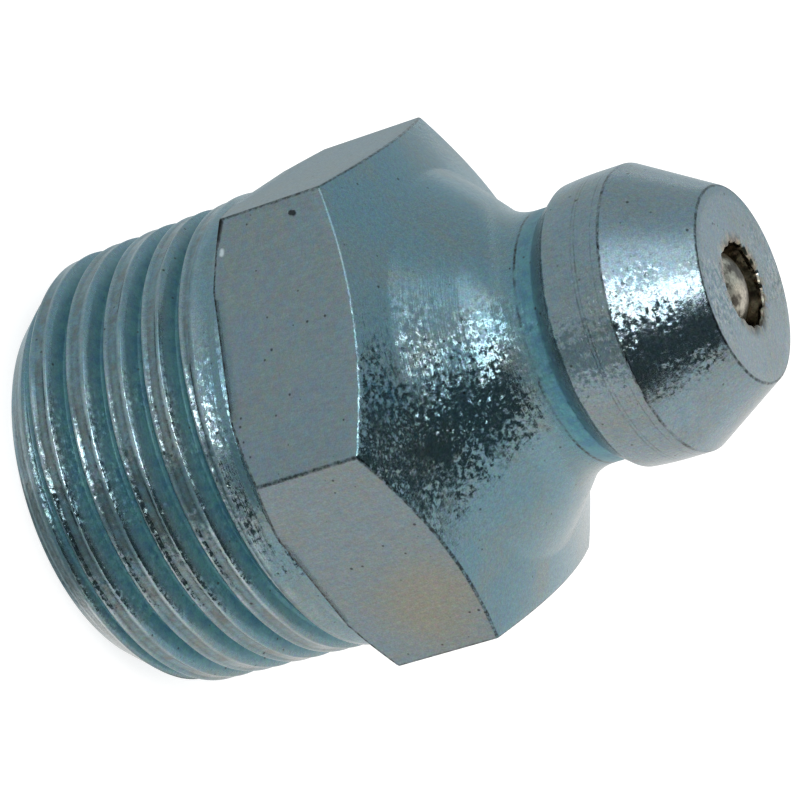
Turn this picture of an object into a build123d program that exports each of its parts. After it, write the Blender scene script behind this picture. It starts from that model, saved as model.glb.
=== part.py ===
from build123d import *
import os
from math import atan, cos, degrees, pi, radians, sin, tan

# Grease nipple with a taper thread, for a coupler of the cone type: a turned body with a check
# ball and a conical spring inside. Millimetres. The axis is +Z, the end face of the thread lies
# at Z = 0 and the coupler head points up. Sections are drawn in the XZ plane and turned about Z.

# Taper thread
thread_pitch = 1.0
thread_gauge_diameter = 10.2       # over the crests, at the gauge plane
thread_gauge_height = 2.0          # gauge plane above the end face
thread_taper = 1 / 16              # change of diameter for each unit of height
thread_crest_flat = 0.45
thread_root_flat = 0.10
thread_flank_angle = 30.0          # each flank, from the plane across the axis
thread_lead_in = 1.0               # height of the cone at the thread's end
thread_end_radius = 4.3            # rim of the end face
thread_length = 5.25               # from the end face to where the groove has run out

# Collar and hexagon
collar_length = 0.83
collar_radius = 5.24
across_flats = 10.6
hexagon_height = 2.89              # from the collar to the front ends of the six long edges
hexagon_back_radius = 5.5          # where the chamfer on the thread side begins
hexagon_back_slope = 32.0          # of that chamfer, from the plane across the axis
hexagon_front_slope = 25.0         # of the chamfer on the head side

# Shoulder, neck and coupler head
shoulder_radius = 4.45             # where the front chamfer ends and the shoulder begins
shoulder_half_angle = 45.5         # of the shoulder's cone, from the axis
shoulder_fillet = 1.6              # between the shoulder's cone and the neck
neck_radius = 2.875
neck_length = 0.45
head_back_radius = 3.2             # corner between the head's back and its barrel
head_back_half_angle = 37.0        # of the head's back, from the axis
head_radius = 3.25
head_barrel_height = 0.9           # over which the barrel swells to the full radius
head_land_length = 0.5             # cylinder at the full radius
head_cone_half_angle = 30.0
tip_radius = 2.22

# Way of the grease
inlet_radius = 1.0
inlet_length = 0.5
seat_half_angle = 30.0             # of the ball's seat, from the axis
bore_radius = 1.5
outlet_radius = 1.0                # inside the rolled rim that holds the spring
rim_thickness = 0.35               # of the rolled rim at the outlet
rim_half_angle = 60.0              # of the rolled rim's inner side, from the axis

# Ball and spring
ball_radius = 1.25
ball_seat_clearance = 0.01         # square to the seat
wire_radius = 0.125
wire_sides = 6
spring_top_radius = 0.88           # mean radius of the coil that cups the ball
spring_bore_clearance = 0.06       # between the lowest coil and the bore
spring_turns = 8
spring_end_clearance = 0.01        # between the spring and what it bears on
closed_turns = 1.0                 # at each end of the spring, wound coil on coil
closed_coil_gap = 0.02             # between the closed coils
points_per_turn = 8                # along the wire's centre line

# Reach of cutting shapes beyond the surfaces that they open
overrun = 1.0
groove_overrun = 0.06              # of the thread's groove, beyond the crests


def cone_height(radial_step, half_angle):
    """Height over which a cone of this half angle changes its radius by radial_step."""
    return radial_step / tan(radians(half_angle))


def turned(*outline):
    """Solid turned about Z from a closed outline of (radius, height) points."""
    return revolve(make_face(Plane.XZ * Polyline(*outline, close=True)), Axis.Z)


def crest_radius(height):
    """Radius over the thread's crests at this height."""
    return thread_gauge_diameter / 2 + (height - thread_gauge_height) * thread_taper / 2


# Heights of the body's features, from the thread up
thread_depth = (thread_pitch - thread_crest_flat - thread_root_flat) / 2 / tan(radians(thread_flank_angle))
corner_radius = across_flats / 2 / cos(pi / 6)
hexagon_back = thread_length + collar_length
back_corner = hexagon_back + (corner_radius - hexagon_back_radius) * tan(radians(hexagon_back_slope))
front_corner = hexagon_back + hexagon_height
shoulder_base = front_corner + (corner_radius - shoulder_radius) * tan(radians(hexagon_front_slope))
fillet_radius = neck_radius + shoulder_fillet * (1 - cos(radians(shoulder_half_angle)))
fillet_base = shoulder_base + cone_height(shoulder_radius - fillet_radius, shoulder_half_angle)
neck_base = fillet_base + shoulder_fillet * sin(radians(shoulder_half_angle))
neck_top = neck_base + neck_length
head_back = neck_top + cone_height(head_back_radius - neck_radius, head_back_half_angle)
head_land = head_back + head_barrel_height
head_cone = head_land + head_land_length
tip_height = head_cone + cone_height(head_radius - tip_radius, head_cone_half_angle)

# Heights inside the bore
seat_mouth = tip_height - inlet_length
seat_base = seat_mouth - cone_height(bore_radius - inlet_radius, seat_half_angle)
seat_apex = seat_mouth + cone_height(inlet_radius, seat_half_angle)
ball_height = seat_apex - (ball_radius + ball_seat_clearance) / sin(radians(seat_half_angle))
rim_base = rim_thickness + cone_height(bore_radius - outlet_radius, rim_half_angle)

# The spring's ends: the top coil cups the ball, the lowest coil lies on the rolled rim's cone
cup_reach = ball_radius + wire_radius + spring_end_clearance
spring_top = ball_height - (cup_reach**2 - spring_top_radius**2) ** 0.5
spring_bottom_radius = bore_radius - wire_radius - spring_bore_clearance
rim_contact = rim_thickness + cone_height(spring_bottom_radius - outlet_radius, rim_half_angle)
spring_bottom = rim_contact + (wire_radius + spring_end_clearance) / sin(radians(rim_half_angle))


def threaded_shank():
    """Taper thread: one plain cone with a helical groove that runs out at thread_length."""
    start, end = -overrun, thread_length + overrun
    blank = turned((0, start), (crest_radius(start), start), (crest_radius(end), end), (0, end))

    half_root = thread_root_flat / 2
    root_radius = crest_radius(start) - thread_depth
    open_radius = crest_radius(start) + groove_overrun
    half_open = half_root + (open_radius - root_radius) * tan(radians(thread_flank_angle))
    section = Plane.XZ * Polyline(
        (root_radius, start + half_root),
        (open_radius, start + half_open),
        (open_radius, start - half_open),
        (root_radius, start - half_root),
        close=True,
    )
    path = Helix(
        thread_pitch,
        end - start,
        crest_radius(start),
        center=(0, 0, start),
        cone_angle=degrees(atan(thread_taper / 2)),
    )
    groove = sweep(make_face(section), path=path, is_frenet=True)

    # The tool is drawn out of the groove along a cone of 45 degrees that ends at the collar
    run_out = thread_depth + overrun
    rim = crest_radius(thread_length)
    groove -= turned(
        (rim - run_out, thread_length - run_out),
        (rim + overrun, thread_length + overrun),
        (rim + overrun, end + overrun),
        (rim - run_out, end + overrun),
    )
    lead_in = turned(
        (0, 0),
        (thread_end_radius, 0),
        (crest_radius(thread_lead_in), thread_lead_in),
        (crest_radius(thread_length) + overrun, thread_lead_in),
        (crest_radius(thread_length) + overrun, thread_length),
        (0, thread_length),
    )
    return (blank - groove) & lead_in


def turned_head():
    """Collar, hexagon blank with both chamfers, shoulder, neck and coupler head."""
    lower = Polyline(
        (0, thread_length),
        (collar_radius, thread_length),
        (collar_radius, hexagon_back),
        (hexagon_back_radius, hexagon_back),
        (corner_radius, back_corner),
        (corner_radius, front_corner),
        (shoulder_radius, shoulder_base),
        (fillet_radius, fillet_base),
    )
    fillet = RadiusArc((fillet_radius, fillet_base), (neck_radius, neck_base), shoulder_fillet)
    neck = Polyline((neck_radius, neck_base), (neck_radius, neck_top), (head_back_radius, head_back))
    barrel = TangentArc((head_radius, head_land), (head_back_radius, head_back), tangent=(0, -1))
    upper = Polyline(
        (head_radius, head_land),
        (head_radius, head_cone),
        (tip_radius, tip_height),
        (0, tip_height),
        (0, thread_length),
    )
    return revolve(make_face(Plane.XZ * (lower + fillet + neck + barrel + upper)), Axis.Z)


def grease_way():
    """Filling hole, ball seat, spring bore and the narrowed outlet inside the rolled rim."""
    return turned(
        (0, -overrun),
        (outlet_radius, -overrun),
        (outlet_radius, rim_thickness),
        (bore_radius, rim_base),
        (bore_radius, seat_base),
        (inlet_radius, seat_mouth),
        (inlet_radius, tip_height + overrun),
        (0, tip_height + overrun),
    )


def nipple_body():
    bar = extrude(RegularPolygon(across_flats / 2, 6, major_radius=False), tip_height)
    return threaded_shank() + (turned_head() & bar) - grease_way()


def spring_path():
    """Centre line of the wire: closed coils at both ends, an even rise between them."""
    closed_rise = closed_turns * (2 * wire_radius + closed_coil_gap)
    open_rise = spring_top - spring_bottom - 2 * closed_rise
    count = round(spring_turns * points_per_turn)
    points = []
    for i in range(count + 1):
        turn = spring_turns * i / count
        lower = min(turn, closed_turns) / closed_turns
        upper = max(turn + closed_turns - spring_turns, 0) / closed_turns
        middle = min(max((turn - closed_turns) / (spring_turns - 2 * closed_turns), 0), 1)
        height = closed_rise * (lower + upper) + open_rise * middle
        radius = spring_bottom_radius + (spring_top_radius - spring_bottom_radius) * turn / spring_turns
        angle = 2 * pi * turn
        points.append((radius * cos(angle), radius * sin(angle), spring_bottom + height))
    return Spline(*points)


def valve_spring():
    path = spring_path()
    section = Plane(origin=path @ 0, z_dir=path % 0) * RegularPolygon(wire_radius, wire_sides)
    return sweep(section, path=path, is_frenet=True)


os.makedirs("parts", exist_ok=True)
export_step(nipple_body(), "parts/nipple_body.step")
export_step(Pos(0, 0, ball_height) * Sphere(ball_radius), "parts/check_ball.step")
export_step(valve_spring(), "parts/valve_spring.step")
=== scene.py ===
from math import atan2, cos, degrees, pi, radians, sin, tan

import bmesh
import bpy
import numpy as np
from mathutils import Matrix, Vector


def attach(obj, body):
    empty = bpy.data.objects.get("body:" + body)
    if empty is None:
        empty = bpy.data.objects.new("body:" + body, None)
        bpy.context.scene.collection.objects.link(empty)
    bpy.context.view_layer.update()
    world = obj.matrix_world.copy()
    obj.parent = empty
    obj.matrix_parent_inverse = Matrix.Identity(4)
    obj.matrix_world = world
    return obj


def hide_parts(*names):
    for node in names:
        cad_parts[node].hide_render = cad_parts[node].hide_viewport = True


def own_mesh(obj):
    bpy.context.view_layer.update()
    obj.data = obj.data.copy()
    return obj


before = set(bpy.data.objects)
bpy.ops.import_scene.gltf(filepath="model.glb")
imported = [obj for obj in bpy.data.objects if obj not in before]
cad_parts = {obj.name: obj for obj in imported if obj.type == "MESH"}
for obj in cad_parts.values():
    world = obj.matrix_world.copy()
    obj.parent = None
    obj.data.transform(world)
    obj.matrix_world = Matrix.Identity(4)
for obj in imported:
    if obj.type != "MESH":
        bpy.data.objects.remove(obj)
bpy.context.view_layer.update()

# Finer meshes and finishes for the three nodes of a grease nipple, and a studio round it. Blender
# works in metres; sizes and places are written in millimetres and angles in degrees.
MM = 0.001

# ---------------------------------------------------------------------------------------------
# Sizes of the part in millimetres, as in its source
# ---------------------------------------------------------------------------------------------
PITCH, GAUGE_RADIUS, GAUGE_HEIGHT, TAPER = 1.0, 5.1, 2.0, 1 / 32
CREST_FLAT, ROOT_FLAT, FLANK = 0.45, 0.10, 30.0
LEAD_IN, END_RADIUS, THREAD_LENGTH = 1.0, 4.3, 5.25
COLLAR_RADIUS, COLLAR_LENGTH = 5.24, 0.83
FLATS, HEX_HEIGHT = 10.6, 2.89
BACK_RADIUS, BACK_SLOPE, FRONT_SLOPE = 5.5, 32.0, 25.0
SHOULDER_RADIUS, SHOULDER_ANGLE, SHOULDER_FILLET = 4.45, 45.5, 1.6
NECK_RADIUS, NECK_LENGTH = 2.875, 0.45
HEAD_BACK_RADIUS, HEAD_BACK_ANGLE = 3.2, 37.0
HEAD_RADIUS, BARREL, LAND, CONE_ANGLE, TIP_RADIUS = 3.25, 0.9, 0.5, 30.0, 2.22
INLET_RADIUS, INLET_LENGTH, SEAT_ANGLE = 1.0, 0.5, 30.0
BORE_RADIUS, OUTLET_RADIUS, RIM, RIM_ANGLE = 1.5, 1.0, 0.35, 60.0
BALL_RADIUS, BALL_CLEARANCE = 1.25, 0.01
WIRE_RADIUS, SPRING_TURNS, SPRING_TOP_RADIUS = 0.125, 8, 0.88
BORE_CLEARANCE, END_CLEARANCE = 0.06, 0.01
CLOSED_TURNS, CLOSED_GAP = 1.0, 0.02

GROOVE_DEPTH = (PITCH - CREST_FLAT - ROOT_FLAT) / 2 / tan(radians(FLANK))
CORNER_RADIUS = FLATS / 2 / cos(pi / 6)
HEX_BACK = THREAD_LENGTH + COLLAR_LENGTH
FRONT_CORNER = HEX_BACK + HEX_HEIGHT
SHOULDER_BASE = FRONT_CORNER + (CORNER_RADIUS - SHOULDER_RADIUS) * tan(radians(FRONT_SLOPE))
FILLET_RADIUS = NECK_RADIUS + SHOULDER_FILLET * (1 - cos(radians(SHOULDER_ANGLE)))
FILLET_BASE = SHOULDER_BASE + (SHOULDER_RADIUS - FILLET_RADIUS) / tan(radians(SHOULDER_ANGLE))
NECK_BASE = FILLET_BASE + SHOULDER_FILLET * sin(radians(SHOULDER_ANGLE))
NECK_TOP = NECK_BASE + NECK_LENGTH
HEAD_BACK = NECK_TOP + (HEAD_BACK_RADIUS - NECK_RADIUS) / tan(radians(HEAD_BACK_ANGLE))
HEAD_LAND = HEAD_BACK + BARREL
HEAD_CONE = HEAD_LAND + LAND
TIP = HEAD_CONE + (HEAD_RADIUS - TIP_RADIUS) / tan(radians(CONE_ANGLE))

SEAT_MOUTH = TIP - INLET_LENGTH
SEAT_BASE = SEAT_MOUTH - (BORE_RADIUS - INLET_RADIUS) / tan(radians(SEAT_ANGLE))
SEAT_APEX = SEAT_MOUTH + INLET_RADIUS / tan(radians(SEAT_ANGLE))
RIM_BASE = RIM + (BORE_RADIUS - OUTLET_RADIUS) / tan(radians(RIM_ANGLE))
BALL_HEIGHT = SEAT_APEX - (BALL_RADIUS + BALL_CLEARANCE) / sin(radians(SEAT_ANGLE))
CUP_REACH = BALL_RADIUS + WIRE_RADIUS + END_CLEARANCE
SPRING_TOP = BALL_HEIGHT - (CUP_REACH**2 - SPRING_TOP_RADIUS**2) ** 0.5
SPRING_BOTTOM_RADIUS = BORE_RADIUS - WIRE_RADIUS - BORE_CLEARANCE
RIM_CONTACT = RIM + (SPRING_BOTTOM_RADIUS - OUTLET_RADIUS) / tan(radians(RIM_ANGLE))
SPRING_BOTTOM = RIM_CONTACT + (WIRE_RADIUS + END_CLEARANCE) / sin(radians(RIM_ANGLE))

# What the finer mesh adds, in millimetres
LONG_EDGE_ROUNDING = 0.09                # of the hexagon's six long edges
SEAM_DEPTH, SEAM_WIDTH = 0.055, 0.18     # of the fold that rolling leaves along the crests
BEAD_OFFSET, BEAD_DROP = 0.04, 0.012     # from a crest's edge to its bead, and down to the edge
BURR_SIZE, BURR_UNEVENNESS = 0.05, 0.0225           # inwards, at the filling hole's mouth
BURR_WAVES = ((2, 0.6), (5, 2.2), (9, 4.4), (17, 1.0))              # number per turn, phase
SEAM_WAVES = ((9.1, 0.4), (23.7, 2.1), (41.3, 4.0), (77.9, 1.2))    # radians per turn, phase
SEAM_LEVEL, SEAM_SWING = 0.75, 0.7       # mean depth of the uneven seam, and its change, as shares
BAND_DEPTH, BAND_WIDTH = 0.006, 3.0      # of the band pressed into the ball; the width in degrees

# ---------------------------------------------------------------------------------------------
# Body: rows run along the section, columns round the axis, and both follow the real edges
# ---------------------------------------------------------------------------------------------
COLUMNS_PER_FLAT = 48
CROWDING = 0.9          # of the columns towards the hexagon's corners, from 0 to 1
CORNER_SHARE = 0.4      # of the shorter run beside a corner, the most that its rounding takes
NO_LIMIT = 99.0         # a radius beyond every surface
WELD = 1e-8             # metres within which points are joined
TINY = 1e-9
step = np.arange(COLUMNS_PER_FLAT) / COLUMNS_PER_FLAT
sector = (step - CROWDING * np.sin(2 * pi * step) / (2 * pi)) * pi / 3
angle = np.concatenate([sector + k * pi / 3 for k in range(6)])
COLUMNS = len(angle)


def hexagon_radius(a):
    """Distance from the axis to the hexagon, with its long edges rounded."""
    off_flat = (a % (pi / 3)) - pi / 6
    flat = FLATS / 2 / np.cos(off_flat)
    off_corner = pi / 6 - np.abs(off_flat)
    centre = (FLATS / 2 - LONG_EDGE_ROUNDING) / cos(pi / 6)
    reach = np.maximum(LONG_EDGE_ROUNDING**2 - (centre * np.sin(off_corner)) ** 2, 0)
    arc = centre * np.cos(off_corner) + np.sqrt(reach)
    tangent = atan2(LONG_EDGE_ROUNDING * 0.5, centre + LONG_EDGE_ROUNDING * cos(pi / 6))
    return np.where(off_corner < tangent, arc, flat)


def crest(z):
    """Radius over the thread's crests."""
    return GAUGE_RADIUS + (z - GAUGE_HEIGHT) * TAPER


def lead_in(z):
    """Radius of the cone at the thread's end."""
    cone = END_RADIUS + (crest(LEAD_IN) - END_RADIUS) * z / LEAD_IN
    return np.where(z < LEAD_IN, cone, NO_LIMIT)


def corner_rows(before, corner, after, rounding, arc_rows):
    """Rows where a rounded corner begins and ends, and those between the two."""
    a, b = before - corner, after - corner
    length_a, length_b = np.linalg.norm(a, axis=-1), np.linalg.norm(b, axis=-1)
    a, b = a / np.maximum(length_a, TINY)[:, None], b / np.maximum(length_b, TINY)[:, None]
    half = np.arccos(np.clip((a * b).sum(-1), -1, 1)) / 2
    reach = rounding / np.maximum(np.tan(half), TINY)
    reach = np.minimum(reach, CORNER_SHARE * np.minimum(length_a, length_b))
    arrive, leave = corner + a * reach[:, None], corner + b * reach[:, None]
    arc = []
    for i in range(1, arc_rows + 1):
        t = i / (arc_rows + 1)
        arc.append((1 - t) ** 2 * arrive + 2 * t * (1 - t) * corner + t**2 * leave)
    return arrive, arc, leave


def rounded(run, arc_rows=2):
    """Rows along a section, each an array round the axis, with rounded corners.

    The run lists the radius, height, rounding and rows to the next point of each corner."""
    corners = [np.stack(np.broadcast_arrays(r * 1.0, z * 1.0, angle)[:2], -1) for r, z, _, _ in run]
    arrive, arcs, leave = list(corners), [[] for _ in run], list(corners)
    for k in range(1, len(run) - 1):
        if run[k][2]:
            rows = corner_rows(*corners[k - 1 : k + 2], run[k][2], arc_rows)
            arrive[k], arcs[k], leave[k] = rows
            arcs[k].append(leave[k])
    out = [corners[0]]
    for k in range(len(run) - 1):
        start, end, count = leave[k], arrive[k + 1], run[k][3]
        out += [start + (end - start) * i / count for i in range(1, count + 1)]
        out += arcs[k + 1]
    return np.array(out)


def arc_points(start, end, radius, rows, hollow):
    """Points between two (r, z) ends on an arc; hollow bends it towards the axis."""
    (r0, z0), (r1, z1) = start, end
    chord = np.hypot(r1 - r0, z1 - z0)
    half = np.arcsin(chord / 2 / radius)
    direction = np.array([r1 - r0, z1 - z0]) / chord
    normal = np.array([-direction[1], direction[0]])
    if hollow != (normal[0] < 0):
        normal = -normal
    points = []
    for i in range(1, rows):
        t = -half + 2 * half * i / rows
        along = chord / 2 + radius * np.sin(t)
        aside = radius * (np.cos(t) - np.cos(half))
        points.append(tuple(np.array([r0, z0]) + direction * along + normal * aside))
    return points


def upper_rows():
    """From the collar over the hexagon and the head, down the bore and back to the end face."""
    hexa = hexagon_radius(angle)
    back = HEX_BACK + np.maximum(hexa - BACK_RADIUS, 0) * tan(radians(BACK_SLOPE))
    front = FRONT_CORNER + (CORNER_RADIUS - hexa) * tan(radians(FRONT_SLOPE))
    fillet_ends = (FILLET_RADIUS, FILLET_BASE), (NECK_RADIUS, NECK_BASE)
    fillet = arc_points(*fillet_ends, SHOULDER_FILLET, 9, True)
    swell = HEAD_RADIUS - HEAD_BACK_RADIUS
    barrel_ends = (HEAD_BACK_RADIUS, HEAD_BACK), (HEAD_RADIUS, HEAD_LAND)
    barrel = arc_points(*barrel_ends, (BARREL**2 + swell**2) / 2 / swell, 7, False)
    burr = BURR_SIZE + BURR_UNEVENNESS * sum(np.sin(k * angle + phase) for k, phase in BURR_WAVES)
    return rounded([
        # Radius, height, rounding, rows to the next point. First the collar, with a bead at either
        # end and a waist between them
        (crest(THREAD_LENGTH), THREAD_LENGTH, 0, 1),
        (COLLAR_RADIUS, THREAD_LENGTH, 0.04, 1),
        (COLLAR_RADIUS, THREAD_LENGTH + 0.11, 0.05, 1),
        (COLLAR_RADIUS - 0.10, THREAD_LENGTH + 0.46, 0.08, 1),
        (COLLAR_RADIUS - 0.05, HEX_BACK - 0.20, 0.05, 1),
        (COLLAR_RADIUS - 0.10, HEX_BACK - 0.08, 0.03, 1),
        (COLLAR_RADIUS - 0.06, HEX_BACK, 0.02, 3),
        # Hexagon with its two chamfers, shoulder and neck
        (np.minimum(hexa, BACK_RADIUS), HEX_BACK, 0.03, 3),
        (hexa, back, 0.05, 12),
        (hexa, front, 0.09, 6),
        (SHOULDER_RADIUS, SHOULDER_BASE, 0.34, 12),
        (FILLET_RADIUS, FILLET_BASE, 0, 1),
        *[(r, z, 0, 1) for r, z in fillet],
        (NECK_RADIUS, NECK_BASE, 0, 3),
        (NECK_RADIUS, NECK_TOP, 0.12, 3),
        # Coupler head and its flat tip
        (HEAD_BACK_RADIUS, HEAD_BACK, 0.12, 1),
        *[(r, z, 0, 1) for r, z in barrel],
        (HEAD_RADIUS, HEAD_LAND, 0, 4),
        (HEAD_RADIUS, HEAD_CONE, 0.06, 12),
        (TIP_RADIUS, TIP, 0.05, 5),
        # Filling hole with the burr in its mouth, seat, bore, rolled rim and end face
        (INLET_RADIUS + 0.03 - burr, TIP, 0.03, 1),
        (INLET_RADIUS - burr, TIP - 0.06, 0.03, 1),
        (INLET_RADIUS, TIP - 0.16, 0.04, 2),
        (INLET_RADIUS, SEAT_MOUTH, 0.03, 3),
        (BORE_RADIUS, SEAT_BASE, 0, 4),
        (BORE_RADIUS, RIM_BASE, 0, 2),
        (OUTLET_RADIUS, RIM, 0.06, 2),
        (OUTLET_RADIUS, 0, 0.08, 3),
        (END_RADIUS, 0, 0, 0),
    ])


def thread_rows():
    """One pitch of the thread's section as (height, depth) rows, crests and roots rounded."""
    half_crest = (PITCH - CREST_FLAT) / 2
    bead, valley = half_crest + BEAD_OFFSET, PITCH / 2 - SEAM_WIDTH / 2
    rows = rounded([
        # Height, depth, rounding, rows to the next point
        (-PITCH / 2, SEAM_DEPTH, 0, 1),
        (-valley, SEAM_DEPTH, 0.04, 1),
        (-bead, 0.0, 0.06, 1),
        (-half_crest, BEAD_DROP, 0.06, 3),
        (-ROOT_FLAT / 2, GROOVE_DEPTH, 0.05, 1),
        (ROOT_FLAT / 2, GROOVE_DEPTH, 0.05, 3),
        (half_crest, BEAD_DROP, 0.05, 1),
        (bead, 0.0, 0.06, 1),
        (valley, SEAM_DEPTH, 0.04, 1),
        (PITCH / 2, SEAM_DEPTH, 0, 0),
    ], arc_rows=1)
    return rows[:-1, 0, :]


def shank_grid():
    """The taper thread: rows climb with the helix, so that crests and roots stay clean lines."""
    one = thread_rows()
    turns = int(np.ceil(THREAD_LENGTH / PITCH)) + 2
    height = np.concatenate([one[:, 0] + k * PITCH for k in range(-1, turns)])[:, None]
    depth = np.tile(one[:, 1], turns + 1)[:, None]
    z = np.clip(height + PITCH * angle / (2 * pi), 0, THREAD_LENGTH)
    along = height // PITCH + angle / (2 * pi)
    wave = sum(np.sin(along * rate + phase) for rate, phase in SEAM_WAVES) / len(SEAM_WAVES)
    seam = np.maximum(np.minimum(depth, SEAM_DEPTH) * (SEAM_LEVEL + SEAM_SWING * wave), 0)
    r = crest(z) - np.where(depth <= SEAM_DEPTH, seam, depth)
    r = np.maximum(r, crest(THREAD_LENGTH) - (THREAD_LENGTH - z))
    return np.minimum(r, lead_in(z)), z, len(one)


def grid_faces(rows, first, shift=0):
    """Quads of a grid that closes round the axis; shift is how far rows climb in a turn."""
    faces = []
    for i in range(rows - 1):
        for j in range(COLUMNS):
            k = (j + 1) % COLUMNS
            up = shift if k == 0 else 0
            a, b = min(i + up, rows - 1), min(i + 1 + up, rows - 1)
            quad = (i * COLUMNS + j, a * COLUMNS + k, b * COLUMNS + k, (i + 1) * COLUMNS + j)
            faces.append(tuple(first + c for c in quad))
    return faces


def gauss(distance, width):
    """Soft band from 1 in its middle to 0."""
    return np.exp(-((distance / width) ** 2))


def shank_masks(r, z):
    """What the finish reads on the thread: grooves, seams, beads that take a painted highlight, and the
    dark lines of painted shade beside them.
    """
    depth = np.minimum(crest(z), lead_in(z)) - r
    groove = np.clip((depth - SEAM_DEPTH) / (GROOVE_DEPTH - SEAM_DEPTH), 0, 1)
    groove = np.sqrt(groove * (z > 0) * (z < THREAD_LENGTH))
    within = (z - PITCH * angle / (2 * pi) + PITCH / 2) % PITCH - PITCH / 2
    off_root, half_crest = np.abs(within), (PITCH - CREST_FLAT) / 2
    # Painted shade: a dark line beside each crest's edge
    under = gauss(within - half_crest + 0.02, width=0.045) * (z > 0.05)
    seam_edge = 0.7 * gauss(off_root - PITCH / 2 + SEAM_WIDTH / 2, width=0.02)
    return {
        "recess": groove,
        "fold": gauss(off_root - PITCH / 2, width=0.12) * (groove < 0.2),
        "under": np.maximum(under, seam_edge),
        "bead": gauss(off_root - half_crest - 0.035, width=0.035) * (groove < 0.3),
        "flat": 0 * r,
        "head": 0 * r,
        "inside": 0 * r,
    }


def upper_masks(r, z):
    """The same masks on the rest of the body."""
    on_hexagon = (z > HEX_BACK + 1e-6) & (z < FRONT_CORNER + 0.4)
    neck = gauss(z - (NECK_BASE + NECK_TOP) / 2 - 0.1, width=0.42)
    outside_neck = (r < 3.3) & (z > FILLET_BASE) & (r > BORE_RADIUS + 0.2)
    # Painted shade in the creases where the thread meets the collar and the collar meets the hexagon
    under = gauss(z - THREAD_LENGTH, width=0.03) * (r > GAUGE_RADIUS - 0.5)
    under = under + gauss(z - HEX_BACK + 0.03, width=0.03) * (r > 4)
    # Beads at the collar's edge and at the head's back corner; the finish brightens them as a painted
    # highlight
    bead = gauss(z - THREAD_LENGTH - 0.09, width=0.05) * (r > COLLAR_RADIUS - 0.06)
    bead = bead + 0.8 * gauss(z - HEAD_BACK + 0.06, width=0.05) * (np.abs(r - 3.1) < 0.25)
    in_bore = (r < BORE_RADIUS + 0.01) & (z < SEAT_MOUTH)
    return {
        "recess": 0.8 * neck * outside_neck,
        "fold": 0 * r,
        "under": np.minimum(under, 1),
        "bead": bead,
        "flat": on_hexagon & (np.abs(r - hexagon_radius(angle)) < 0.004),
        "head": np.clip((z - NECK_TOP) / 0.5, 0, 1) * (r > INLET_RADIUS - 0.01),
        "inside": (r < INLET_RADIUS + 0.02) | in_bore,
    }


def body_mesh():
    """Shank and upper part welded into one mesh, with the masks as values of its points."""
    r0, z0, per_pitch = shank_grid()
    r1, z1 = np.moveaxis(upper_rows(), -1, 0)
    shank, upper = shank_masks(r0, z0), upper_masks(r1, z1)
    r, z = np.concatenate([r0, r1]), np.concatenate([z0, z1])
    points = np.stack([r * np.cos(angle), r * np.sin(angle), z], -1).reshape(-1, 3) * MM
    faces = grid_faces(len(r0), 0, per_pitch) + grid_faces(len(r1), r0.size)
    mesh = bpy.data.meshes.new("nipple_turned_body")
    mesh.from_pydata(points.tolist(), [], faces)
    for name in shank:
        layer = mesh.attributes.new(name, "FLOAT", "POINT")
        values = np.concatenate([shank[name], upper[name]])
        layer.data.foreach_set("value", values.ravel().astype(float))
    bm = bmesh.new()
    bm.from_mesh(mesh)
    bmesh.ops.remove_doubles(bm, verts=bm.verts, dist=WELD)
    bmesh.ops.dissolve_degenerate(bm, edges=bm.edges, dist=WELD)
    bmesh.ops.recalc_face_normals(bm, faces=bm.faces)
    bm.to_mesh(mesh)
    bm.free()
    return mesh


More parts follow.
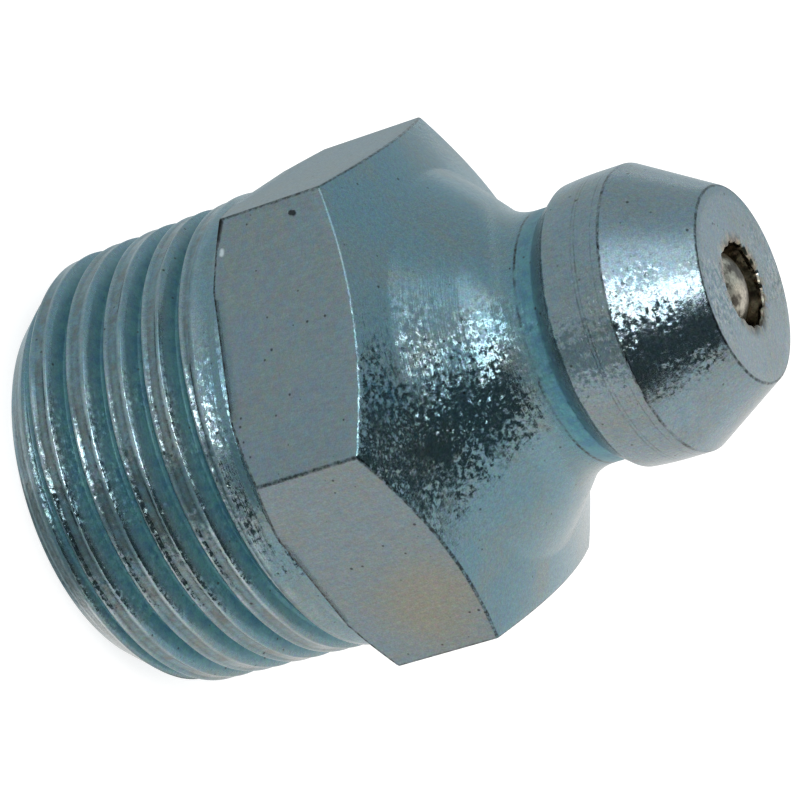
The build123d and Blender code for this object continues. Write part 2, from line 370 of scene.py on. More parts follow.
# ---------------------------------------------------------------------------------------------
# Materials
# ---------------------------------------------------------------------------------------------
class Nodes:
    """Short calls for a material's node tree. They take numbers, colours or other outputs."""

    def __init__(self, name):
        self.material = bpy.data.materials.new(name)
        self.material.use_nodes = True
        self.tree = self.material.node_tree
        self.shader = self.tree.nodes["Principled BSDF"]
        self.surface = self.tree.nodes["Material Output"].inputs["Surface"]

    def link(self, value, socket):
        if isinstance(value, bpy.types.NodeSocket):
            self.tree.links.new(value, socket)
        else:
            socket.default_value = value

    def node(self, kind, inputs, **settings):
        """New node with its settings made and its inputs fed by name or number; its outputs."""
        node = self.tree.nodes.new("ShaderNode" + kind)
        for name, value in settings.items():
            setattr(node, name, value)
        for key, value in inputs.items():
            self.link(value, node.inputs[key])
        return node.outputs

    def math(self, operation, *values):
        return self.node("Math", dict(enumerate(values)), operation=operation)[0]

    def plus(self, total, *others):
        for other in others:
            total = self.math("ADD", total, other)
        return total

    def minus(self, a, b):
        return self.math("SUBTRACT", a, b)

    def times(self, product, *others):
        for other in others:
            product = self.math("MULTIPLY", product, other)
        return product

    def most(self, value, *others):
        """The largest of the values."""
        for other in others:
            value = self.math("MAXIMUM", value, other)
        return value

    def distance(self, a, b):
        """Length of the way from the origin to (a, b)."""
        return self.math("SQRT", self.plus(self.times(a, a), self.times(b, b)))

    def remap(self, value, low, high, to_low=0.0, to_high=1.0, smooth=False):
        ends = dict(enumerate((value, low, high, to_low, to_high)))
        return self.node("MapRange", ends, interpolation_type="SMOOTHSTEP" if smooth else "LINEAR")[0]

    def mix(self, factor, a, b, blend="MIX"):
        a, b = ((*c, 1) if isinstance(c, tuple) else c for c in (a, b))
        return self.node("Mix", {0: factor, 6: a, 7: b}, data_type="RGBA", blend_type=blend)[2]

    def tinted(self, colour, tint):
        return self.mix(1.0, colour, tint, "MULTIPLY")

    def combine(self, x, y, z):
        return self.node("CombineXYZ", {0: x, 1: y, 2: z})[0]

    def grey(self, value):
        return self.combine(value, value, value)

    def separate(self, vector):
        """The three shares of a vector, or channels of a colour."""
        return self.node("SeparateXYZ", {0: vector})

    def vector(self, operation, *values):
        """Vector maths; the operations that give a number give that."""
        outputs = self.node("VectorMath", dict(enumerate(values)), operation=operation)
        return outputs["Value" if operation in ("LENGTH", "DOT_PRODUCT") else "Vector"]

    def scaled(self, vector, factor):
        return self.node("VectorMath", {0: vector, "Scale": factor}, operation="SCALE")[0]

    def segment(self, point, start, end):
        """Distance from the point to a line between two ends."""
        way = Vector(end) - Vector(start)
        off = self.vector("SUBTRACT", point, start)
        along = self.remap(self.vector("DOT_PRODUCT", off, tuple(way / way.length_squared)), 0, 1)
        return self.vector("LENGTH", self.vector("SUBTRACT", off, self.scaled(tuple(way), along)))

    def in_millimetres(self):
        """Object coordinates in millimetres."""
        return self.scaled(self.node("TexCoord", {})["Object"], 1 / MM)

    def mask(self, name):
        """One of the values that the mesh carries at its points."""
        return self.node("Attribute", {}, attribute_name=name)["Fac"]

    def noise(self, vector, scale, detail=2.0, roughness=0.5, output="Fac"):
        inputs = {"Vector": vector, "Scale": scale, "Detail": detail, "Roughness": roughness}
        return self.node("TexNoise", inputs)[output]

    def cells(self, vector, scale):
        """Distance to the middle of each random cell, and a random colour for the cell."""
        outputs = self.node("TexVoronoi", {"Vector": vector, "Scale": scale})
        return outputs["Distance"], outputs["Color"]

    def bump(self, height, strength, distance, normal=None):
        """Normal over a relief; distance is the relief's height in millimetres."""
        inputs = {"Height": height, "Strength": strength, "Distance": distance * MM}
        if normal is not None:
            inputs["Normal"] = normal
        return self.node("Bump", inputs)[0]


# Colours of the plated body, some of them painted shade and painted highlight
BLUE_ZINC, HEAD_ZINC, FLAT_ZINC = (0.172, 0.278, 0.315), (0.245, 0.31, 0.34), (0.225, 0.275, 0.295)
TAN_FILM, BLUE_FILM = (0.25, 0.265, 0.235), (0.17, 0.28, 0.35)
# Teal and blue of the grooves and neck: a stain there, with painted shade in these hollows
TEAL_STAIN_AND_SHADE, BLUE_STAIN_AND_SHADE, NECK_TINT = (0.07, 0.235, 0.26), (0.04, 0.165, 0.24), (0.85, 1.05, 1.15)
WARM_FLAT, SEAM_FILM = (0.285, 0.275, 0.22), (0.15, 0.125, 0.10)
# Bead colour: wear and a painted highlight on the beads
BEAD_WEAR_AND_SHEEN, BRIGHT_MARK = (0.46, 0.55, 0.58), (0.62, 0.68, 0.70)
OIL, DARK_OIL = (0.30, 0.26, 0.20), (0.10, 0.085, 0.065)
PIT_COLOUR, LINE_COLOUR = (0.03, 0.033, 0.03), (0.02, 0.022, 0.022)

# Places of the marks, in millimetres
MARK_WANDER = 0.06      # of the marks' edges, from side to side
WARM_PATCH = ((5.44, -1.18, 8.0), (5.2, -1.6, 8.4))     # ends of the tan patch's middle line
DENTS = (           # from, to, reach and darkness of the knocks on the flat towards -Y; in the two at the back corner the darkness is painted shade
    ((-2.68, -5.3, 8.22), (-2.64, -5.3, 8.29), 0.07, 0.9),
    ((-3.00, -5.28, 6.46), (-2.62, -5.26, 6.33), 0.12, 1.0),
    ((-2.60, -5.26, 6.32), (-2.25, -5.24, 6.21), 0.10, 0.9),
)
SCRATCH_AND_GLINT_MARKS = (     # from, to, half width and strength of the scratch and of the painted glint on a knock
    ((-1.925, -4.723, 2.66), (-1.575, -4.851, 2.96), 0.035, 0.8),
    ((-2.34, -5.3, 6.43), (-2.27, -5.3, 6.41), 0.075, 1.0),
)
RING_LINES = (      # height, width and strength of the scored rings on neck and head
    (12.01, 0.035, 0.8),
    (12.80, 0.03, 0.6),
    (13.58, 0.022, 0.35),
    (13.66, 0.018, 0.45),
    (14.05, 0.018, 0.35),
    (14.235, 0.035, 0.85),
)
PITS = (            # cells per millimetre, share of cells without a pit, and size
    (5.5, 0.70, 0.25),
    (2.2, 0.92, 0.12),
)

# Angles round the axis, in degrees, at which the finish changes
COARSE_SHEEN_AND_SHADE_SIDE = 62.0      # from the middle of the coarser turned grain, the beads' painted highlight and the strongest painted shade lines to +X
SHADE_SIDE = 120.0      # from where the grooves and neck are darkest, a painted shade on that side, to +X


class ZincPlate(Nodes):
    """The body's finish: turned and drawn steel under blue passivated zinc, stained and marked, with
    painted shade and painted highlights.

    Lengths are in millimetres, and masks run from 0 to 1."""

    def __init__(self):
        super().__init__("zinc_plate")
        self.place = self.in_millimetres()
        self.x, self.y, self.z = self.separate(self.place)
        self.radius = self.distance(self.x, self.y)
        self.around = self.math("ARCTAN2", self.y, self.x)
        self.flat, self.head = self.mask("flat"), self.mask("head")
        self.recess, self.bead = self.mask("recess"), self.mask("bead")
        self.turned = self.minus(1.0, self.flat)

        # Grain, wear, the beads' painted highlight and the crests' painted shade lines are strongest on
        # two opposite sides
        half_turns = self.times(self.plus(self.around, radians(COARSE_SHEEN_AND_SHADE_SIDE)), 2.0)
        self.side = self.math("COSINE", half_turns)
        self.wear_sheen_and_shade = self.remap(self.side, -0.1, 0.7, 0.3, 1.0)

        # What several parts of the finish share
        uneven = self.noise(self.place, 9.0, 3, 0.75)
        self.wander = self.times(self.minus(uneven, 0.5), MARK_WANDER)
        stretched = self.vector("MULTIPLY", self.place, (16.0, 16.0, 3.0))
        self.streaks = self.noise(stretched, 1.0, 3, 0.65)
        self.grain = self.noise(self.place, 17.0, 3, 0.7)
        self.tint = self.noise(self.place, 4.5, 2, 0.5)
        self.dents = [self.dent(start, end, reach) for start, end, reach, _ in DENTS]

    def off_mark(self, start, end):
        """Distance from a mark's middle line, a little uneven."""
        return self.plus(self.segment(self.place, start, end), self.wander)

    def dent(self, start, end, reach):
        """Mask of a knock, fading out from its middle line."""
        return self.remap(self.off_mark(start, end), reach * 0.4, reach, 1, 0, smooth=True)

    def polar(self, across, along):
        """Coordinates that run finely across the turned rings and coarsely along them."""
        around = self.times(self.around, along)
        return self.combine(self.times(self.radius, across), self.times(self.z, across), around)

    def film(self):
        """Colour of the plating, greyer on the head, tan in patches, stained with painted shade in
        grooves and neck, and with a painted highlight on the beads.
        """
        p = self.place
        colour = self.mix(self.head, BLUE_ZINC, HEAD_ZINC)
        colour = self.mix(self.flat, colour, FLAT_ZINC)
        colour = self.mix(self.remap(self.noise(p, 0.7, 3, 0.6), 0.42, 0.66, 0, 0.55), colour, TAN_FILM)
        colour = self.mix(self.remap(self.tint, 0.4, 0.7, 0, 0.4), colour, BLUE_FILM)

        # Stain with painted shade in the grooves and on the neck
        stain_and_shade = self.mix(self.remap(self.noise(p, 3.5, 3, 0.6), 0.45, 0.62), TEAL_STAIN_AND_SHADE, BLUE_STAIN_AND_SHADE)
        # Painted shade on one side round the axis, and painted light on the opposite side
        depth = self.math("COSINE", self.plus(self.around, radians(SHADE_SIDE)))
        stain_and_shade = self.tinted(stain_and_shade, self.grey(self.remap(depth, -0.3, 0.95, 1.14, 0.74)))
        on_neck = self.remap(self.z, NECK_BASE - 1.0, NECK_BASE)
        stain_and_shade = self.mix(on_neck, stain_and_shade, self.tinted(stain_and_shade, NECK_TINT))
        colour = self.mix(self.remap(self.recess, 0.1, 0.9, 0, 0.9), colour, stain_and_shade)

        warm = self.remap(self.segment(p, *WARM_PATCH), 0.2, 1.7, 0.75, 0, smooth=True)
        colour = self.mix(self.times(warm, self.flat), colour, WARM_FLAT)
        brown = self.remap(self.noise(p, 3.0, 3, 0.6), 0.42, 0.64, 0.0, 0.6)
        colour = self.mix(self.times(self.mask("fold"), brown), colour, SEAM_FILM)
        # Painted highlight on the beads, with wear, strongest on two opposite sides
        gleam = self.remap(self.noise(self.polar(3.0, 6.0), 1.0, 2), 0.35, 0.6, 0.1, 0.9)
        colour = self.mix(self.times(self.bead, gleam, self.wear_sheen_and_shade), colour, BEAD_WEAR_AND_SHEEN)
        oil = self.mix(self.remap(self.tint, 0.45, 0.6), OIL, DARK_OIL)
        colour = self.mix(self.mask("inside"), colour, oil)

        drift = self.scaled(self.noise(p, 11.0, output="Color"), 0.5)
        colour = self.tinted(colour, self.vector("ADD", drift, (0.75, 0.75, 0.75)))
        speckle = self.remap(self.noise(p, 30.0, 2, 0.6), 0.3, 0.7, 0.84, 1.16)
        colour = self.tinted(colour, self.grey(speckle))
        return self.tinted(colour, self.grey(self.remap(self.streaks, 0.3, 0.7, 0.93, 1.07)))

    def edge_lines(self):
        """Painted shade as dark lines along the hexagon's edges; the flat towards -Y has none at its
        front edge.
        """
        turn = self.math("MODULO", self.plus(self.around, 2 * pi), pi / 3)
        off_flat = self.minus(turn, pi / 6)
        hexa = self.math("DIVIDE", FLATS / 2, self.math("COSINE", off_flat))
        rise = self.times(self.minus(CORNER_RADIUS, hexa), tan(radians(FRONT_SLOPE)))
        drop = self.times(self.most(self.minus(hexa, BACK_RADIUS), 0.0), tan(radians(BACK_SLOPE)))
        inward = self.minus(hexa, self.radius)
        off_corner = self.minus(pi / 6, self.math("ABSOLUTE", off_flat))

        front = self.distance(self.minus(self.z, self.plus(rise, FRONT_CORNER)), inward)
        back = self.distance(self.minus(self.z, self.plus(drop, HEX_BACK)), inward)
        corner = self.plus(self.times(off_corner, CORNER_RADIUS), self.math("ABSOLUTE", inward))
        off_plain_flat = self.math("ABSOLUTE", self.plus(self.around, pi / 2))
        beside = self.remap(off_plain_flat, pi / 6 - 0.01, pi / 6 + 0.01)
        front = self.remap(self.plus(front, self.wander), 0.035, 0.06, 1, 0)
        back = self.remap(self.plus(back, self.wander), 0.03, 0.06, 1, 0)
        corner = self.remap(self.plus(corner, self.wander), 0.03, 0.06, 1, 0)
        return self.most(self.times(front, beside, 0.9), self.times(back, 0.95), self.times(corner, 0.8))

    def ring_lines(self, line):
        """Adds the broken rings on neck and head, and the dark rim of the tip."""
        patches = self.noise(self.polar(4.0, 2.5), 1.0, 3, 0.65)
        scored = self.times(self.turned, self.remap(patches, 0.35, 0.62, 0.1, 1.3))
        for height, width, strength in RING_LINES:
            middle = self.plus(self.times(self.wander, 0.5), height)
            off = self.math("ABSOLUTE", self.minus(self.z, middle))
            ring = self.remap(off, width * 0.5, width * 1.3, strength, 0)
            line = self.most(line, self.times(ring, scored))
        off_rim = self.distance(self.minus(self.radius, TIP_RADIUS), self.minus(self.z, TIP))
        return self.most(line, self.remap(self.plus(off_rim, self.wander), 0.025, 0.05, 0.85, 0))

    def marks(self, colour):
        """Pits, dents, a bright scratch, a painted glint and dark lines over the colour: scored rings,
        and painted shade along edges, creases and crests and in two knocks.
        """
        for scale, chance, size in PITS:
            spot, cell = self.cells(self.place, scale)
            reach = self.remap(self.separate(cell)[0], chance, 1.0, 0.0, size)
            pit = self.remap(self.minus(reach, spot), 0.0, 0.02 * scale)
            colour = self.mix(self.times(pit, 0.8), colour, PIT_COLOUR)
        # A bright scratch, and a painted glint on a knock
        for start, end, width, strength in SCRATCH_AND_GLINT_MARKS:
            mark = self.remap(self.off_mark(start, end), width * 0.3, width, strength, 0)
            colour = self.mix(mark, colour, BRIGHT_MARK)

        breaks = self.remap(self.noise(self.place, 7.0, 3, 0.8), 0.36, 0.58, 0.15, 1.0)
        line = self.times(self.ring_lines(self.edge_lines()), breaks)
        # Knocks; in the two at the back corner their darkness is painted shade
        for dent, (_, _, _, darkness) in zip(self.dents, DENTS):
            line = self.most(line, self.times(dent, darkness))
        # Painted shade along the crests' edges and in the creases, in patches, strongest on two opposite
        # sides
        line_patches = self.remap(self.noise(self.place, 7.0, 3, 0.7), 0.35, 0.60, 0.2, 0.85)
        line = self.most(line, self.times(self.mask("under"), self.wear_sheen_and_shade, line_patches))
        return self.mix(line, colour, LINE_COLOUR)

    def roughness(self):
        rough = self.remap(self.grain, 0.3, 0.7, 0.13, 0.27)
        rough = self.plus(rough, self.times(self.flat, 0.18), self.times(self.recess, 0.25))
        polish = self.remap(self.times(self.bead, self.wear_sheen_and_shade), 0.2, 0.9, 1.0, 0.5)
        return self.times(rough, polish)

    def coarse_patch(self):
        """Where the turned grain is coarse, on two opposite sides and unevenly."""
        around = self.remap(self.side, 0.15, 0.60, 0.06, 1.0)
        uneven = self.remap(self.noise(self.place, 1.2, 2), 0.38, 0.54, 0.4, 1.0)
        return self.times(self.turned, around, uneven)

    def facets(self, patch):
        """Normal tilted by the small facets that the tool left, a few of them strongly."""
        half = (0.5, 0.5, 0.5)
        tilt = self.vector("SUBTRACT", self.cells(self.polar(30.0, 18.0), 1.0)[1], half)
        tilt = self.vector("MULTIPLY", tilt, self.vector("MULTIPLY", tilt, tilt))
        tilt = self.vector("MULTIPLY", tilt, (0.45, 0.45, 1.0))
        knock = self.vector("SUBTRACT", self.noise(self.place, 9.0, output="Color"), half)
        tilt = self.vector("ADD", tilt, self.scaled(knock, self.times(patch, 1.1)))
        on_head = self.times(self.turned, self.remap(self.head, 0, 1, 1.0, 0.8))
        tilt = self.scaled(tilt, self.times(self.remap(patch, 0.1, 0.9, 0.35, 1.0), on_head))
        normal = self.node("NewGeometry", {})["Normal"]
        return self.vector("NORMALIZE", self.vector("ADD", normal, tilt))

    def relief(self):
        """Normal with facets, lathe rings, drawing marks, grain and dents."""
        patch = self.coarse_patch()
        rings = self.noise(self.polar(10.0, 1.2), 1.0, 4, 0.75)
        rills = self.times(self.noise(self.polar(26.0, 4.0), 1.0, 2, 0.6), 0.45)
        lathe = self.grey(self.times(self.turned, self.plus(rings, rills)))
        cast = self.grey(self.noise(self.place, 8.0, 3, 0.65))
        lathe = self.separate(self.mix(self.remap(self.head, 0, 1, 0, 0.7), lathe, cast))[0]
        drawn = self.times(self.flat, self.times(self.streaks, 0.6))
        strength = self.plus(self.remap(patch, 0.0, 1.0, 0.18, 0.42), self.times(self.flat, 0.24))
        normal = self.bump(self.plus(lathe, drawn), strength, 0.016, self.facets(patch))
        normal = self.bump(self.grain, self.remap(patch, 0.0, 0.6, 0.22, 0.35), 0.012, normal)
        fine = self.noise(self.place, 15.0, 2, 0.55)
        normal = self.bump(fine, self.times(patch, 0.10), 0.045, normal)
        return self.bump(self.times(self.plus(*self.dents), -1.0), 1.0, 0.05, normal)

    def finish(self):
        self.link(self.marks(self.film()), self.shader.inputs["Base Color"])
        self.link(self.remap(self.recess, 0.1, 0.9, 1.0, 0.35), self.shader.inputs["Metallic"])
        self.link(self.roughness(), self.shader.inputs["Roughness"])
        self.link(self.relief(), self.shader.inputs["Normal"])
        return self.material


def oiled_steel(name, base, dark, rough):
    """Ground or drawn steel with a film of oil in patches."""
    n = Nodes(name)
    p = n.in_millimetres()
    patch = n.noise(p, 2.6, 4, 0.65)
    colour = n.mix(n.remap(patch, 0.42, 0.58), base, dark)
    speckle = n.grey(n.remap(n.noise(p, 16.0, 2), 0.3, 0.7, 0.8, 1.2))
    n.link(n.tinted(colour, speckle), n.shader.inputs["Base Color"])
    n.shader.inputs["Metallic"].default_value = 1.0
    n.link(n.remap(patch, 0.3, 0.7, rough, rough + 0.2), n.shader.inputs["Roughness"])
    n.link(n.bump(n.noise(p, 11.0, 4, 0.7), 0.5, 0.02), n.shader.inputs["Normal"])
    return n.material


# ---------------------------------------------------------------------------------------------
# Ball and spring, finer than the solids they stand for
# ---------------------------------------------------------------------------------------------
def mesh_of(name, points, faces):
    """Mesh from points in millimetres."""
    mesh = bpy.data.meshes.new(name)
    mesh.from_pydata((np.asarray(points) * MM).tolist(), [], faces)
    return mesh


def ball_mesh(rows=40, columns=64):
    """Sphere with the narrow band that its seat has pressed into it."""
    points = [(0, 0, BALL_HEIGHT + BALL_RADIUS)]
    for i in range(1, rows):
        polar = pi * i / rows
        off_band = degrees(polar) - (90 - SEAT_ANGLE)
        radius = BALL_RADIUS - BAND_DEPTH * gauss(off_band, BAND_WIDTH)
        across, height = radius * sin(polar), BALL_HEIGHT + radius * cos(polar)
        for j in range(columns):
            a = 2 * pi * j / columns
            points.append((across * cos(a), across * sin(a), height))
    points.append((0, 0, BALL_HEIGHT - BALL_RADIUS))
    faces = [(0, 1 + j, 1 + (j + 1) % columns) for j in range(columns)]
    for i in range(rows - 2):
        a, b = 1 + i * columns, 1 + (i + 1) * columns
        for j in range(columns):
            k = (j + 1) % columns
            faces.append((a + j, b + j, b + k, a + k))
    last, a = len(points) - 1, 1 + (rows - 2) * columns
    faces += [(last, a + (j + 1) % columns, a + j) for j in range(columns)]
    return mesh_of("check_ball_ground", points, faces)


def spring_line(steps):
    """Centre line of the wire, and its angle round the axis: closed coils at both ends."""
    rise = CLOSED_TURNS * (2 * WIRE_RADIUS + CLOSED_GAP)
    open_rise = SPRING_TOP - SPRING_BOTTOM - 2 * rise
    turn = np.linspace(0, SPRING_TURNS, SPRING_TURNS * steps + 1)
    lower = np.minimum(turn, CLOSED_TURNS) / CLOSED_TURNS
    upper = np.maximum(turn + CLOSED_TURNS - SPRING_TURNS, 0) / CLOSED_TURNS
    middle = np.clip((turn - CLOSED_TURNS) / (SPRING_TURNS - 2 * CLOSED_TURNS), 0, 1)
    height = SPRING_BOTTOM + rise * (lower + upper) + open_rise * middle
    narrowing = (SPRING_TOP_RADIUS - SPRING_BOTTOM_RADIUS) * turn / SPRING_TURNS
    coil = SPRING_BOTTOM_RADIUS + narrowing
    a = 2 * pi * turn
    return np.stack([coil * np.cos(a), coil * np.sin(a), height], -1), a


def spring_mesh(steps=48, sides=14):
    """Round wire along the cone of coils, its cut ends closed."""
    line, a = spring_line(steps)
    ahead = np.gradient(line, axis=0)
    ahead /= np.linalg.norm(ahead, axis=1)[:, None]
    out = np.stack([np.cos(a), np.sin(a), 0 * a], -1)
    out -= ahead * (out * ahead).sum(1)[:, None]
    out /= np.linalg.norm(out, axis=1)[:, None]
    aside = np.cross(ahead, out)
    around = (np.arange(sides) * 2 * pi / sides)[:, None]
    wire = np.cos(around) * out[:, None] + np.sin(around) * aside[:, None]
    points = line[:, None] + WIRE_RADIUS * wire
    faces = []
    for i in range(len(line) - 1):
        a, b = i * sides, (i + 1) * sides
        faces += [(a + j, a + (j + 1) % sides, b + (j + 1) % sides, b + j) for j in range(sides)]
    faces.append(tuple(reversed(range(sides))))
    faces.append(tuple(range(len(line) * sides - sides, len(line) * sides)))
    return mesh_of("valve_spring_wire", points.reshape(-1, 3), faces)


def add_piece(mesh, rides_on, node, finish):
    """Piece from a mesh, in the place of a CAD node."""
    mesh.polygons.foreach_set("use_smooth", [True] * len(mesh.polygons))
    mesh.materials.append(finish)
    piece = bpy.data.objects.new(mesh.name, mesh)
    bpy.context.scene.collection.objects.link(piece)
    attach(piece, rides_on)
    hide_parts(node)
    return piece


body = add_piece(body_mesh(), "body", "nipple_body", ZincPlate().finish())
body.modifiers.new("normals", "WEIGHTED_NORMAL").mode = "FACE_AREA"

ball_steel = oiled_steel("ball_steel", (0.52, 0.47, 0.38), (0.12, 0.10, 0.08), 0.25)
add_piece(ball_mesh(), "ball", "check_ball", ball_steel)

spring_steel = oiled_steel("spring_steel", (0.34, 0.34, 0.34), (0.24, 0.24, 0.235), 0.3)
spring = add_piece(spring_mesh(), "body", "valve_spring", spring_steel)
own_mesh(spring)

# ---------------------------------------------------------------------------------------------
# Camera, at the photograph's angle
# ---------------------------------------------------------------------------------------------
CAMERA_TARGET = (0.2575 * MM, -0.1540 * MM, 7.5194 * MM)
CAMERA_AZIMUTH, CAMERA_ELEVATION, CAMERA_ROLL = 19.917, 25.819, 72.723
CAMERA_DISTANCE, CAMERA_LENS, CAMERA_SENSOR = 105.583 * MM, 214.645, 36
CAMERA_RANGE = (0.005, 10)
CAMERA_SIDE = CAMERA_AZIMUTH - 90    # the camera's direction round the axis, from +X


def add_camera():
    """Camera that looks at its target from an azimuth and elevation, rolled about its own axis."""
    a, e = radians(CAMERA_AZIMUTH), radians(CAMERA_ELEVATION)
    back = Vector((sin(a) * cos(e), -cos(a) * cos(e), sin(e)))
    camera = bpy.data.objects.new("camera", bpy.data.cameras.new("camera"))
    bpy.context.scene.collection.objects.link(camera)
    roll = Matrix.Rotation(radians(CAMERA_ROLL), 3, "Z")
    turn = (-back).to_track_quat("-Z", "Y").to_matrix() @ roll
    place = Matrix.Translation(Vector(CAMERA_TARGET) + back * CAMERA_DISTANCE)
    camera.matrix_world = place @ turn.to_4x4()
    camera.data.lens = CAMERA_LENS
    camera.data.sensor_width = CAMERA_SENSOR
    camera.data.clip_start, camera.data.clip_end = CAMERA_RANGE
    bpy.context.scene.camera = camera


# ---------------------------------------------------------------------------------------------
# Studio: a white world, one soft lamp, a pale floor, and cards that only reflections see
# ---------------------------------------------------------------------------------------------
CENTRE_HEIGHT = 9 * MM      # of the lamp's aim and the dome's middle
LAMP_SIDE, LAMP_HEIGHT, LAMP_DISTANCE = -15, 32, 250 * MM
LAMP_WIDTH, LAMP_TALL, LAMP_RADIANCE = 66 * MM, 200 * MM, 5.0
CARD_COLUMNS, DOME_ROWS, TABLE_ROWS = 120, 30, 12
DOME_LOWEST, DOME_STEP = -0.5, 3.0      # degrees above the horizon, and between rows
TABLE_NEAR, TABLE_FAR = 2 * MM, 302 * MM    # reach of the table's cards from the axis
FLOOR_HEIGHT, FLOOR_HALF_WIDTH = -0.020 * MM, 1000 * MM
FLOOR_COLOUR, FLOOR_BRIGHTENING = (0.5, 0.5, 0.5, 1), 0.7
WHITE = (1, 1, 1, 1)


def toward(side, height):
    """Unit vectors; side is counted round the axis from the camera, height above the floor."""
    s, h = np.radians(CAMERA_SIDE + side), np.radians(height)
    return np.stack([np.cos(s) * np.cos(h), np.sin(s) * np.cos(h), np.sin(h)], -1)


def ramp(value, low, high):
    """Smooth rise from 0 at low to 1 at high."""
    t = np.clip((value - low) / (high - low), 0, 1)
    return t * t * (3 - 2 * t)


def add_lamp():
    """Soft lamp aimed at the part, its power worked out from its surface's radiance."""
    data = bpy.data.lights.new("key_lamp", "AREA")
    data.shape, data.size, data.size_y = "RECTANGLE", LAMP_WIDTH, LAMP_TALL
    data.energy = LAMP_RADIANCE * pi * LAMP_WIDTH * LAMP_TALL
    lamp = bpy.data.objects.new("key_lamp", data)
    way = Vector(toward(LAMP_SIDE, LAMP_HEIGHT))
    place = Matrix.Translation(Vector((0, 0, CENTRE_HEIGHT)) + way * LAMP_DISTANCE)
    lamp.matrix_world = place @ way.to_track_quat("Z", "Y").to_matrix().to_4x4()
    bpy.context.scene.collection.objects.link(lamp)


def card_finish(name, colour):
    """Light of one colour: clear where the points' value "cover" is 0, full where it is 1."""
    n = Nodes(name)
    n.tree.nodes.remove(n.shader)
    light = n.node("Emission", {"Color": (*colour, 1), "Strength": 1.0})[0]
    clear = n.node("BsdfTransparent", {})[0]
    n.link(n.node("MixShader", {0: n.mask("cover"), 1: clear, 2: light})[0], n.surface)
    return n.material


def add_card(name, points, cover, colour):
    """Card with soft edges, its points listed column by column round the axis."""
    rows = len(points) // CARD_COLUMNS
    faces = []
    for i in range(CARD_COLUMNS):
        a, b = i * rows, (i + 1) % CARD_COLUMNS * rows
        faces += [(a + j, b + j, b + j + 1, a + j + 1) for j in range(rows - 1)]
    mesh = bpy.data.meshes.new(name)
    mesh.from_pydata(points.tolist(), [], [f for f in faces if max(cover[i] for i in f) > 0])
    mesh.attributes.new("cover", "FLOAT", "POINT").data.foreach_set("value", cover)
    mesh.materials.append(card_finish(name, colour))
    card = bpy.data.objects.new(name, mesh)
    bpy.context.scene.collection.objects.link(card)
    card.visible_camera = card.visible_shadow = card.visible_diffuse = False


def card_grid(rows):
    """Side in degrees and row number of each point of a card."""
    side = np.arange(CARD_COLUMNS) * 360 / CARD_COLUMNS - 180
    return np.repeat(side, rows + 1), np.tile(np.arange(rows + 1), CARD_COLUMNS)


def dome_card(name, radius, colour, cover):
    """Card on a dome; cover gets each point's share ahead, to the side and up from the middle."""
    side, row = card_grid(DOME_ROWS)
    height = DOME_LOWEST + DOME_STEP * row
    points = np.array([0, 0, CENTRE_HEIGHT]) + toward(side, height) * radius
    s, h = np.radians(side), np.radians(height)
    add_card(name, points, cover(np.cos(h) * np.cos(s), np.cos(h) * np.sin(s), np.sin(h)), colour)


def table_card(name, height, colour, cover):
    """Card under the part; cover gets each point's side in degrees and its reach in metres."""
    side, row = card_grid(TABLE_ROWS)
    reach = TABLE_NEAR + (TABLE_FAR - TABLE_NEAR) * (row / TABLE_ROWS) ** 2
    points = toward(side, 0 * side) * reach[:, None] + np.array([0, 0, height])
    add_card(name, points, cover(side, reach), colour)


# What each card covers, chosen so that the faces mirror the photograph's tones towards the camera
def dark_cover(ahead, lateral, up):
    near_edge = ramp(lateral + 0.05 * (1 - ahead), 0.0, 0.08)
    slanting_edge = ramp(1.564 * lateral - ahead - 0.127 * up, 0.95, 0.70)
    return near_edge * slanting_edge * ramp(ahead, -0.55, -0.45)


def grey_cover(ahead, lateral, up):
    return ramp(lateral, 0.02, -0.06)


def pale_cover(ahead, lateral, up):
    across = ramp(lateral, -0.10, -0.35) * ramp(lateral, -0.93, -0.62)
    return across * ramp(ahead, 0.0, 0.2) * ramp(up, 0.86, 0.66) * ramp(up, 0.05, 0.25)


def white_cover(ahead, lateral, up):
    return ramp(lateral, 0.1, 0.3) * ramp(up, 0.3, 0.45)


def white_table_cover(side, reach):
    return ramp(side, 25, 50) * ramp(side, 180, 165)


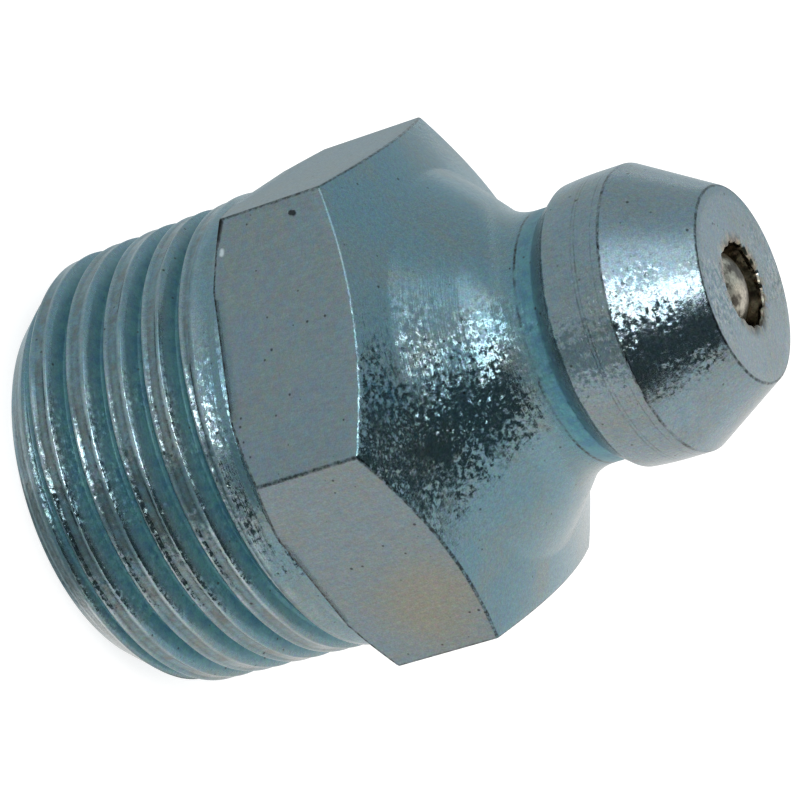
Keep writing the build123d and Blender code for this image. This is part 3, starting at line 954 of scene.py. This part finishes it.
def dark_table_cover(side, reach):
    return ramp(side, -12, 0) * ramp(side, 45, 25) * ramp(reach, 0.2, 0.1)


def grey_table_cover(side, reach):
    return ramp(side, 0, -14) * ramp(reach, 0.3, 0.2)


def floor_finish():
    """Grey that keeps the shadow, brightened to white for the camera and for reflections."""
    n = Nodes("floor")
    n.tree.nodes.remove(n.shader)
    rays = n.node("LightPath", {})
    seen = n.most(rays["Is Camera Ray"], rays["Is Glossy Ray"], rays["Is Transmission Ray"])
    white = n.node("Emission", {"Strength": n.times(seen, FLOOR_BRIGHTENING)})[0]
    paint = n.node("BsdfDiffuse", {"Color": FLOOR_COLOUR})[0]
    n.link(n.node("AddShader", {0: paint, 1: white})[0], n.surface)
    return n.material


def add_floor():
    w = FLOOR_HALF_WIDTH
    mesh = bpy.data.meshes.new("floor")
    mesh.from_pydata([(-w, -w, 0), (w, -w, 0), (w, w, 0), (-w, w, 0)], [], [(0, 1, 2, 3)])
    mesh.materials.append(floor_finish())
    floor = bpy.data.objects.new("floor", mesh)
    floor.location.z = FLOOR_HEIGHT
    bpy.context.scene.collection.objects.link(floor)


def add_world():
    world = bpy.data.worlds.new("studio")
    bpy.context.scene.world = world
    world.use_nodes = True
    background = world.node_tree.nodes["Background"]
    background.inputs["Color"].default_value = WHITE
    background.inputs["Strength"].default_value = 1.0


add_camera()
add_lamp()
dome_card("dark_card", 300 * MM, (0.05, 0.075, 0.08), dark_cover)
dome_card("grey_card", 320 * MM, (0.56, 0.66, 0.71), grey_cover)
dome_card("pale_card", 310 * MM, (1.55, 1.75, 1.85), pale_cover)
dome_card("white_card", 330 * MM, (0.86, 0.91, 0.93), white_cover)
table_card("white_table", -0.010 * MM, (0.94, 0.92, 0.90), white_table_cover)
table_card("dark_table", -0.012 * MM, (0.32, 0.40, 0.42), dark_table_cover)
table_card("grey_table", -0.016 * MM, (0.60, 0.68, 0.71), grey_table_cover)
add_floor()
add_world()
bpy.context.scene.view_settings.view_transform = "Standard"
